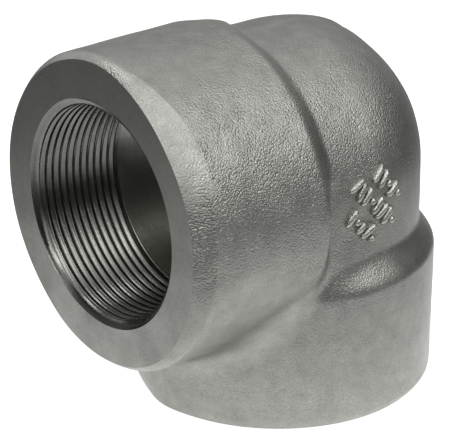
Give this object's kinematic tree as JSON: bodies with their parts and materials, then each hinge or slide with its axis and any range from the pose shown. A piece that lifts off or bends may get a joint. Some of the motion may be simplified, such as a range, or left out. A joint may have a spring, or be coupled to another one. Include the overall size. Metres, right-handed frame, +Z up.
{
  "type": "threaded elbow",
  "caption": "Forged steel 90 degree pipe elbow with two thick banded ports, a ball-shaped heel and a threaded bore right through.",
  "frame": {"origin": "on the floor under the middle of the part's box; the lower port's axis stands 9.4 mm behind it, at x = 0, y = 0.0094", "axes": "+Z up; the lower port opens along -Z and its end face stands on the floor; the side port opens along -Y, with its axis 61.2 mm up"},
  "size_m": [0.0848, 0.1036, 0.1036],
  "materials": {
    "forged_steel": "dull shot-blasted forging, with turned end faces and cut threads"
  },
  "bodies": {
    "root": {"elbow_body": "forged_steel"}
  },
  "joints": []
}
